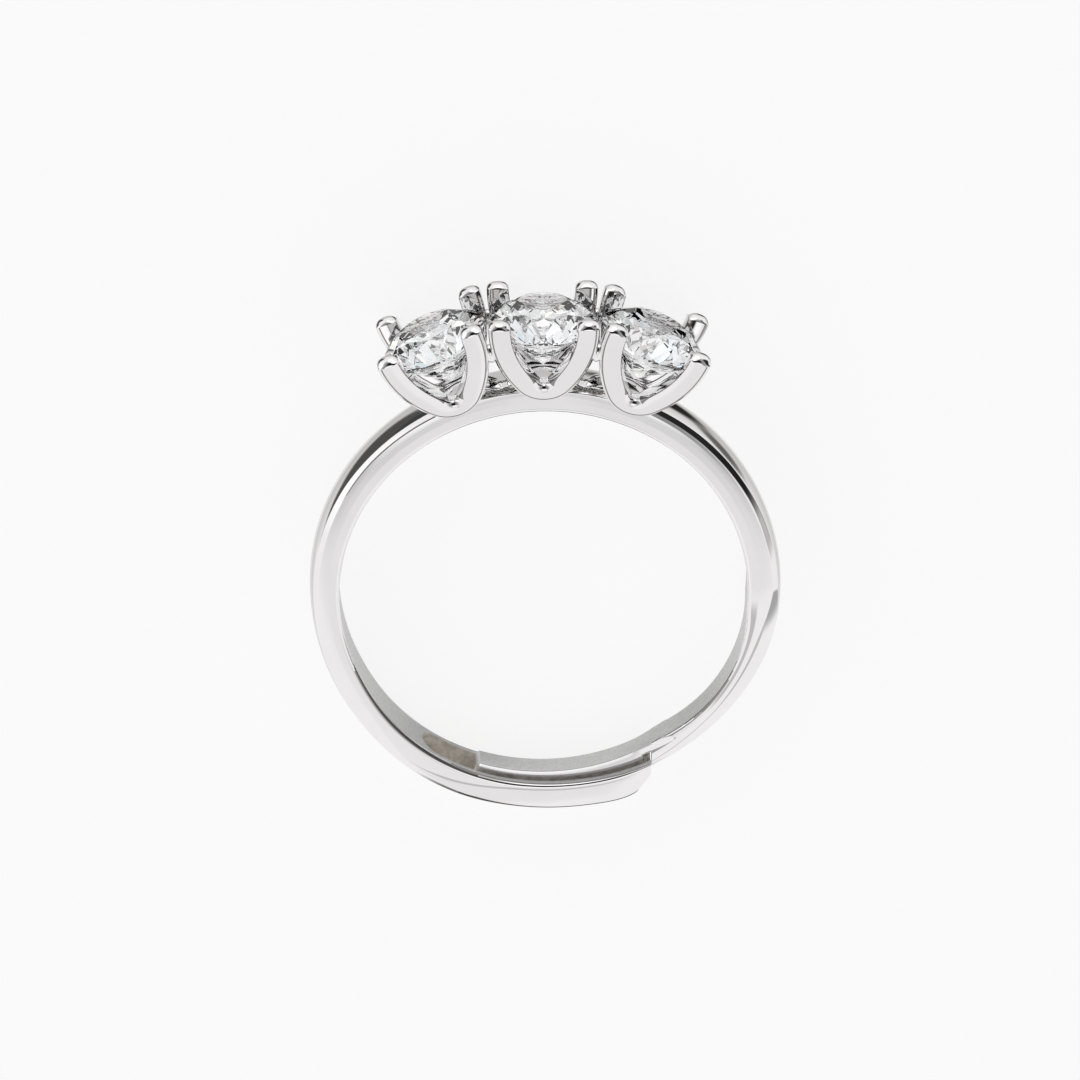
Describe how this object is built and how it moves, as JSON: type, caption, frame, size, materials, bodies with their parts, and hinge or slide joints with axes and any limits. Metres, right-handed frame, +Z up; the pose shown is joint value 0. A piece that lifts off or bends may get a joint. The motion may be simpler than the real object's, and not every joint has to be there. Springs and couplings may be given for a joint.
{
  "type": "three stone ring",
  "caption": "Adjustable ring with round brilliants in four-prong heads of bent straps, and a band whose ends overlap under the finger.",
  "frame": {"origin": "bottom centre of the whole ring's box, as it lies on its back side", "axes": "+Y from the overlap under the finger to the heads, +X across the ring, +Z up; the finger hole's axis leans a little from +Z towards -Y, because the heads are wider than the band"},
  "size_m": [0.0198, 0.0234, 0.0046],
  "materials": {
    "silver": "polished",
    "stone": "faceted and polished"
  },
  "bodies": {
    "root": {"ring_metal": "silver", "stone_left": "stone", "stone_centre": "stone", "stone_right": "stone"}
  },
  "joints": []
}
